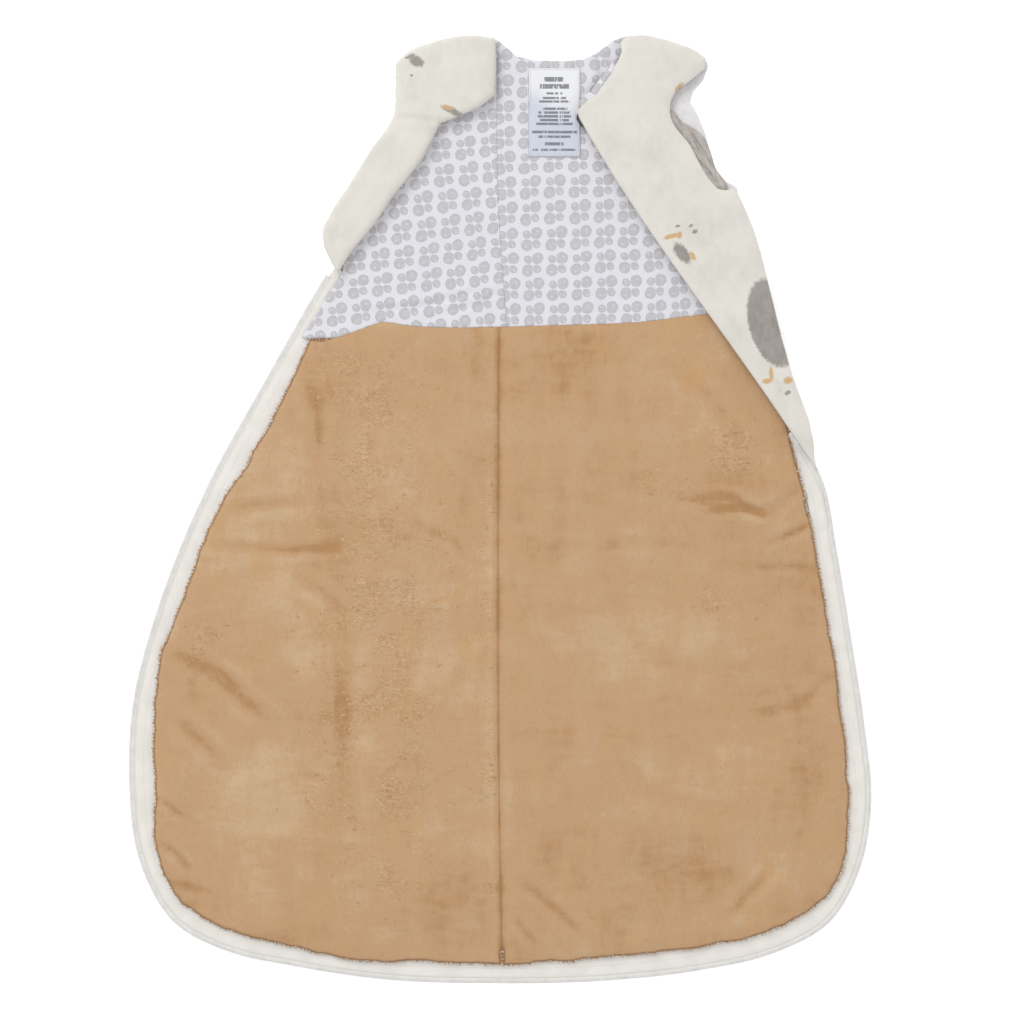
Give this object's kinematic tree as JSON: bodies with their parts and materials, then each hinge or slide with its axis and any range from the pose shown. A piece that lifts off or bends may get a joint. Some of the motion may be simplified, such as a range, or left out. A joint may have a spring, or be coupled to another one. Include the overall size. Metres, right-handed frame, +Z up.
{
  "type": "baby sleeping bag",
  "caption": "Sleeveless plush baby sleeping bag laid flat and unzipped, inside up: tan plush skirt, printed cotton yoke, and a zip round its edge.",
  "frame": {"origin": "on the floor under the middle of the bag", "axes": "+Z up through the open bag, +Y towards the neck, +X towards the wearer's left side, which is the right in a view from above"},
  "size_m": [0.5109, 0.6507, 0.0264],
  "materials": {
    "plush_cream": "short cream plush pile with soft grey and ochre printed spots",
    "plush_tan": "short tan plush pile, brushed",
    "printed_cotton": "plain-woven pale cotton with a small grey repeat",
    "facing_jersey": "pale brushed jersey",
    "wadding": "polyester wadding",
    "zip_tape": "woven off-white zip tape",
    "zip_nylon": "pale nylon coil",
    "label_satin": "white woven satin label",
    "slider_metal": "dark gunmetal plating"
  },
  "bodies": {
    "bag_back": {"back_shell": "plush_cream", "back_wadding": "wadding", "lining_skirt_left": "plush_tan", "lining_skirt_right": "plush_tan", "lining_yoke_left": "printed_cotton", "lining_yoke_right": "printed_cotton", "right_armhole_facing": "facing_jersey", "back_zip_tape": "zip_tape", "back_zip_coil": "zip_nylon", "back_zip_end_stop": "zip_nylon", "care_label": "label_satin", "front_left_shell": "plush_cream", "front_left_lining": "printed_cotton", "front_turn_shell": "plush_cream", "front_turn_lining": "printed_cotton", "front_right_shell": "plush_cream", "front_right_lining": "printed_cotton"},
    "lapel": {"lapel_zip_guard": "plush_cream", "lapel_shell": "plush_cream", "lapel_lining": "printed_cotton", "lapel_zip_tape": "zip_tape", "lapel_zip_coil": "zip_nylon", "zip_retainer_box": "zip_nylon"},
    "slider": {"zip_slider": "slider_metal"},
    "pull": {"zip_pull": "slider_metal"},
    "front_flap": {"front_flap_shell": "plush_cream", "front_flap_wadding": "wadding", "front_flap_yoke_left": "printed_cotton", "front_flap_yoke_right": "printed_cotton", "front_flap_skirt_left": "plush_tan", "front_flap_skirt_right": "plush_tan", "flap_zip_tape": "zip_tape", "flap_zip_coil": "zip_nylon", "zip_insertion_pin": "slider_metal"}
  },
  "joints": [
    {"name": "front_flap_swing", "type": "hinge", "parent": "bag_back", "child": "front_flap", "pos_m": [-0.074, 0.2731, 0.013], "axis": [0.525, 0.8511, 0], "range_deg": [0, 180]},
    {"name": "lapel_fold", "type": "hinge", "parent": "bag_back", "child": "lapel", "pos_m": [0.0806, 0.308, 0.0266], "axis": [-0.4484, 0.8938, 0], "range_deg": [0, 165]},
    {"name": "zip_slider_slide", "type": "slide", "parent": "lapel", "child": "slider", "axis": [0.5611, -0.8278, 0], "range_m": [0, 0.22]},
    {"name": "zip_pull_swing", "type": "hinge", "parent": "slider", "child": "pull", "pos_m": [0.057, 0.26971, 0.0226], "axis": [0, 0, -1], "range_deg": [0, 150]}
  ]
}
